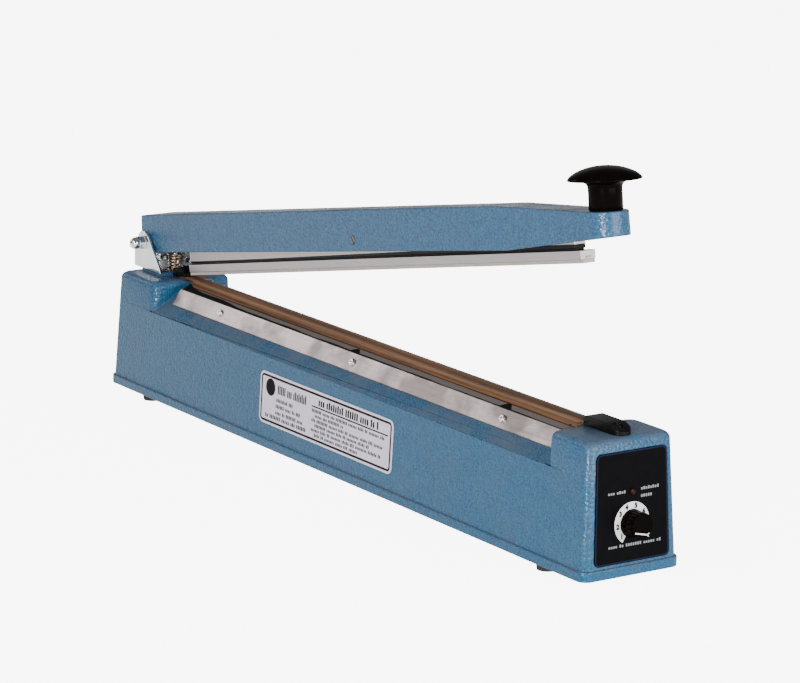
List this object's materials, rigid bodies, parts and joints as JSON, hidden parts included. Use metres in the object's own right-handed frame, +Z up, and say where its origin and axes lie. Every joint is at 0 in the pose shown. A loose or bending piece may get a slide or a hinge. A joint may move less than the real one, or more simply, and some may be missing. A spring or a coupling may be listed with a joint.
{
  "type": "hand impulse sealer",
  "caption": "Hand impulse sealer: long die-cast base with a heated sealing ridge, timer and lamp, and a hinged spring-raised arm that presses a pivoted bar on the bag.",
  "frame": {"origin": "on the floor, under the middle of the base's length from its rear end to the timer knob's face, and on its mid-plane", "axes": "+X from the hinge end to the control plate, along the sealing ridge; +Z up; +Y to the side away from the instruction plate"},
  "size_m": [0.6504, 0.082, 0.2723],
  "materials": {
    "casing": "blue hammertone paint on a die casting",
    "sheet_steel": "plain zinc-plated sheet",
    "plated": "bright plated steel",
    "chrome": "bright chrome",
    "rubber": "matt black",
    "bed": "dull brown heat-proof laminate",
    "ribbon": "dull heating alloy",
    "cover_sheet": "brown woven non-stick sheet, slightly glossy",
    "strips": "brushed",
    "insulator": "brown phenolic",
    "brass": "plain brass",
    "black_plastic": "moulded black, satin",
    "panel": "printed black with a light border",
    "label": "printed pale plate",
    "lamp": "clear red lens",
    "pot_body": "plated case",
    "board": "green laminate",
    "board_parts": "mixed blue and black parts",
    "core": "stacked dark laminations",
    "coil": "yellow tape over copper",
    "switch_body": "moulded black",
    "knob": "polished black phenolic",
    "bar": "extruded, satin",
    "silicone": "pale silicone rubber",
    "spring": "plain spring wire",
    "button": "moulded red"
  },
  "bodies": {
    "base": {"base_casing": "casing", "base_plate": "sheet_steel", "base_screws": "plated", "rubber_feet": "rubber", "foot_screws": "plated", "heater_bed": "bed", "bed_screws": "plated", "heating_ribbon": "ribbon", "cover_sheet": "cover_sheet", "near_clamp_strip": "strips", "far_clamp_strip": "strips", "strip_screws": "plated", "terminal_insulators": "insulator", "terminals": "brass", "terminal_nuts": "brass", "front_terminal_cover": "black_plastic", "rear_terminal_cover": "black_plastic", "cover_screws": "plated", "control_plate": "panel", "instruction_plate": "label", "indicator_lamp": "lamp", "potentiometer": "pot_body", "potentiometer_nut": "plated", "timer_board": "board", "board_parts": "board_parts", "transformer_core": "core", "transformer_coil": "coil", "transformer_strap": "sheet_steel", "transformer_screws": "plated", "micro_switch": "switch_body", "switch_screws": "plated", "cord_gland": "black_plastic", "hinge_bracket": "chrome", "bracket_screws": "plated", "pivot_bolt": "chrome", "pivot_nut": "chrome", "hinge_washers": "plated", "lift_spring": "spring"},
    "arm": {"arm_casting": "casing", "hinge_bush": "brass", "hand_knob": "knob", "knob_screw": "plated", "bar_pin": "plated"},
    "bar": {"pressure_bar": "bar", "silicone_strip": "silicone"},
    "rod": {"push_rod": "plated", "rod_clip": "sheet_steel"},
    "lever": {"switch_lever": "sheet_steel"},
    "button": {"switch_button": "button"},
    "timer": {"timer_knob": "black_plastic", "timer_shaft": "plated"}
  },
  "joints": [
    {"name": "arm_hinge", "type": "hinge", "parent": "base", "child": "arm", "pos_m": [-0.30617, 0, 0.121], "axis": [0, 1, 0], "range_deg": [0, 10], "stiffness_Nm_per_rad": 11.5, "springref_deg": -19.94, "deforming": ["lift_spring"]},
    {"name": "bar_rock", "type": "hinge", "parent": "arm", "child": "bar", "pos_m": [-0.00588, 0, 0.17501], "axis": [0, 1, 0], "range_deg": [0, 1.35]},
    {"name": "rod_slide", "type": "slide", "parent": "base", "child": "rod", "axis": [0, 0, -1], "range_m": [0, 0.00266]},
    {"name": "lever_swing", "type": "hinge", "parent": "base", "child": "lever", "pos_m": [-0.30267, 0, 0.0722], "axis": [0, 1, 0], "range_deg": [0, 10.13]},
    {"name": "button_slide", "type": "slide", "parent": "base", "child": "button", "axis": [0, 0, -1], "range_m": [0, 0.00106]},
    {"name": "timer_turn", "type": "hinge", "parent": "base", "child": "timer", "pos_m": [0.31156, 0, 0.0401], "axis": [0.9988, 0, 0.0489], "range_deg": [-190, 35]}
  ],
  "couplings": [
    {"joint": "bar_rock", "follows": "arm_hinge", "ratio": 0.135},
    {"joint": "rod_slide", "follows": "arm_hinge", "m_per_rad": 0.01513},
    {"joint": "lever_swing", "follows": "arm_hinge", "ratio": 1.0085},
    {"joint": "button_slide", "follows": "arm_hinge", "m_per_rad": 0.005957}
  ]
}
